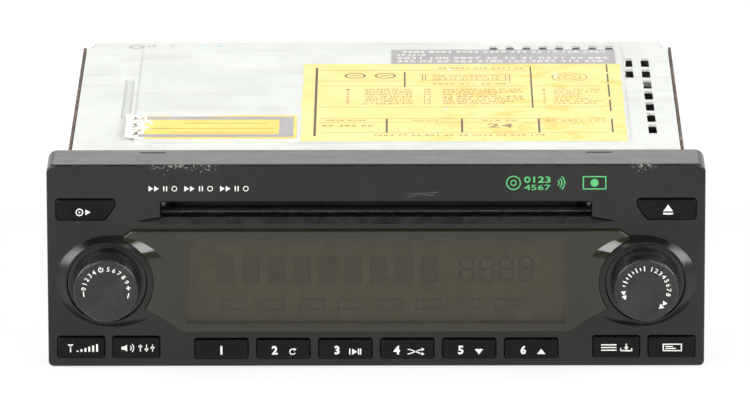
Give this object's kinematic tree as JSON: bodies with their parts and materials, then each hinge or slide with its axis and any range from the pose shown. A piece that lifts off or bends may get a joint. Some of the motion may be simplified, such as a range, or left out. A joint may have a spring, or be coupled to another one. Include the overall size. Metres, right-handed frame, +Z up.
{
  "type": "car disc player",
  "caption": "Single-slot car disc player with a dark face, two round knobs, numbered keys, a wide display, a disc slot and a steel chassis holding the disc deck and its drive.",
  "frame": {"origin": "bottom of the front panel's lower edge plane, under the middle of the whole player's box", "axes": "+X to the right seen from the front, +Y from the face to the rear, +Z up"},
  "size_m": [0.188, 0.1872, 0.06],
  "materials": {
    "face_plastic": "satin",
    "lens_plastic": "gloss",
    "display_glass": "gloss",
    "white_plastic": "matt",
    "felt": "matt",
    "circuit_board": "gloss",
    "switch_plastic": "satin",
    "black_plastic": "satin",
    "key_plastic": "satin",
    "knob_plastic": "matt",
    "encoder_metal": "satin",
    "plunger_plastic": "satin",
    "chassis_steel": "satin",
    "label_paper": "satin",
    "screw_steel": "satin",
    "chip_plastic": "satin",
    "tin_plate": "gloss",
    "capacitor_sleeve": "gloss",
    "aluminium": "satin",
    "fuse_plastic": "gloss",
    "deck_steel": "satin",
    "rubber": "matt",
    "grey_plastic": "satin",
    "motor_can": "satin",
    "polished_steel": "gloss",
    "gear_plastic": "satin"
  },
  "bodies": {
    "body": {"front_panel": "face_plastic", "display_lens": "lens_plastic", "display_glass": "display_glass", "display_holder": "white_plastic", "slot_felts": "felt", "front_board": "circuit_board", "key_switches": "switch_plastic", "panel_back": "black_plastic", "volume_encoder": "encoder_metal", "tuning_encoder": "encoder_metal", "chassis_tray": "chassis_steel", "rear_panel": "chassis_steel", "top_cover": "chassis_steel", "cover_labels": "label_paper", "cover_screws": "screw_steel", "inner_screws": "screw_steel", "main_board": "circuit_board", "amplifier_chip": "chip_plastic", "tuner_can": "tin_plate", "capacitors": "capacitor_sleeve", "heat_sink": "aluminium", "wiring_socket": "black_plastic", "fuse": "fuse_plastic", "aerial_socket": "tin_plate", "rear_stud": "screw_steel", "deck_frame": "deck_steel", "damper_rubbers": "rubber", "traverse_base": "grey_plastic", "spindle_motor": "motor_can", "guide_rods": "polished_steel", "sled_motor": "motor_can"},
    "preset_key_1": {"preset_key_1": "key_plastic"},
    "preset_key_2": {"preset_key_2": "key_plastic"},
    "preset_key_3": {"preset_key_3": "key_plastic"},
    "preset_key_4": {"preset_key_4": "key_plastic"},
    "preset_key_5": {"preset_key_5": "key_plastic"},
    "preset_key_6": {"preset_key_6": "key_plastic"},
    "band_key": {"band_key": "key_plastic"},
    "sound_key": {"sound_key": "key_plastic"},
    "store_key": {"store_key": "key_plastic"},
    "display_key": {"display_key": "key_plastic"},
    "source_key": {"source_key": "key_plastic"},
    "eject_key": {"eject_key": "key_plastic"},
    "volume_plunger": {"volume_plunger": "plunger_plastic"},
    "volume_knob": {"volume_knob": "knob_plastic", "volume_shaft": "encoder_metal"},
    "tuning_plunger": {"tuning_plunger": "plunger_plastic"},
    "tuning_knob": {"tuning_knob": "knob_plastic", "tuning_shaft": "encoder_metal"},
    "turntable": {"turntable": "grey_plastic"},
    "clamp_arm": {"clamp_arm": "deck_steel"},
    "clamper": {"clamper": "grey_plastic"},
    "roller_carrier": {"roller_bracket": "deck_steel", "loading_motor": "motor_can"},
    "loading_roller": {"loading_roller": "rubber", "roller_gear": "gear_plastic"},
    "motor_pinion": {"motor_pinion": "gear_plastic"},
    "pickup": {"optical_pickup": "grey_plastic"},
    "lead_screw": {"lead_screw": "polished_steel"}
  },
  "joints": [
    {"name": "preset_key_1_press", "type": "slide", "parent": "body", "child": "preset_key_1", "axis": [0, 1, 0], "range_m": [0, 0.0007], "stiffness_N_per_m": 800, "springref_m": -0.0006},
    {"name": "preset_key_2_press", "type": "slide", "parent": "body", "child": "preset_key_2", "axis": [0, 1, 0], "range_m": [0, 0.0007], "stiffness_N_per_m": 800, "springref_m": -0.0006},
    {"name": "preset_key_3_press", "type": "slide", "parent": "body", "child": "preset_key_3", "axis": [0, 1, 0], "range_m": [0, 0.0007], "stiffness_N_per_m": 800, "springref_m": -0.0006},
    {"name": "preset_key_4_press", "type": "slide", "parent": "body", "child": "preset_key_4", "axis": [0, 1, 0], "range_m": [0, 0.0007], "stiffness_N_per_m": 800, "springref_m": -0.0006},
    {"name": "preset_key_5_press", "type": "slide", "parent": "body", "child": "preset_key_5", "axis": [0, 1, 0], "range_m": [0, 0.0007], "stiffness_N_per_m": 800, "springref_m": -0.0006},
    {"name": "preset_key_6_press", "type": "slide", "parent": "body", "child": "preset_key_6", "axis": [0, 1, 0], "range_m": [0, 0.0007], "stiffness_N_per_m": 800, "springref_m": -0.0006},
    {"name": "band_key_press", "type": "slide", "parent": "body", "child": "band_key", "axis": [0, 1, 0], "range_m": [0, 0.0007], "stiffness_N_per_m": 800, "springref_m": -0.0006},
    {"name": "sound_key_press", "type": "slide", "parent": "body", "child": "sound_key", "axis": [0, 1, 0], "range_m": [0, 0.0007], "stiffness_N_per_m": 800, "springref_m": -0.0006},
    {"name": "store_key_press", "type": "slide", "parent": "body", "child": "store_key", "axis": [0, 1, 0], "range_m": [0, 0.0007], "stiffness_N_per_m": 800, "springref_m": -0.0006},
    {"name": "display_key_press", "type": "slide", "parent": "body", "child": "display_key", "axis": [0, 1, 0], "range_m": [0, 0.0007], "stiffness_N_per_m": 800, "springref_m": -0.0006},
    {"name": "source_key_press", "type": "slide", "parent": "body", "child": "source_key", "axis": [0, 1, 0], "range_m": [0, 0.0007], "stiffness_N_per_m": 800, "springref_m": -0.0006},
    {"name": "eject_key_press", "type": "slide", "parent": "body", "child": "eject_key", "axis": [0, 1, 0], "range_m": [0, 0.0007], "stiffness_N_per_m": 800, "springref_m": -0.0006},
    {"name": "volume_push", "type": "slide", "parent": "body", "child": "volume_plunger", "axis": [0, 1, 0], "range_m": [0, 0.001], "stiffness_N_per_m": 1500, "springref_m": -0.0006},
    {"name": "volume_turn", "type": "hinge", "parent": "volume_plunger", "child": "volume_knob", "pos_m": [-0.0769, -0.0829, 0.02545], "axis": [0, -1, 0], "continuous": true},
    {"name": "tuning_push", "type": "slide", "parent": "body", "child": "tuning_plunger", "axis": [0, 1, 0], "range_m": [0, 0.001], "stiffness_N_per_m": 1500, "springref_m": -0.0006},
    {"name": "tuning_turn", "type": "hinge", "parent": "tuning_plunger", "child": "tuning_knob", "pos_m": [0.0769, -0.0829, 0.02545], "axis": [0, -1, 0], "continuous": true},
    {"name": "disc_turn", "type": "hinge", "parent": "body", "child": "turntable", "pos_m": [0, 0.0121, 0.0437], "axis": [0, 0, -1], "continuous": true},
    {"name": "clamp_press", "type": "hinge", "parent": "body", "child": "clamp_arm", "pos_m": [0, 0.0701, 0.0485], "axis": [1, 0, 0], "range_deg": [0, 2.6]},
    {"name": "clamper_turn", "type": "hinge", "parent": "clamp_arm", "child": "clamper", "pos_m": [0, 0.0121, 0.0477], "axis": [0, 0, -1], "continuous": true},
    {"name": "roller_tilt", "type": "hinge", "parent": "body", "child": "roller_carrier", "pos_m": [0, -0.0459, 0.04], "axis": [1, 0, 0], "range_deg": [0, 14]},
    {"name": "roller_turn", "type": "hinge", "parent": "roller_carrier", "child": "loading_roller", "pos_m": [0, -0.0579, 0.04195], "axis": [1, 0, 0], "continuous": true},
    {"name": "pinion_turn", "type": "hinge", "parent": "roller_carrier", "child": "motor_pinion", "pos_m": [0, -0.0516, 0.03355], "axis": [1, 0, 0], "continuous": true},
    {"name": "pickup_slide", "type": "slide", "parent": "body", "child": "pickup", "axis": [1, 0, 0], "range_m": [0, 0.035]},
    {"name": "lead_screw_turn", "type": "hinge", "parent": "body", "child": "lead_screw", "pos_m": [0, 0.0356, 0.037], "axis": [1, 0, 0], "range_deg": [0, 4201]}
  ],
  "couplings": [
    {"joint": "clamper_turn", "follows": "disc_turn", "ratio": 1},
    {"joint": "roller_tilt", "follows": "clamp_press", "ratio": 5.3462},
    {"joint": "pinion_turn", "follows": "roller_turn", "ratio": -2.5},
    {"joint": "lead_screw_turn", "follows": "pickup_slide", "rad_per_m": 2094.4}
  ]
}
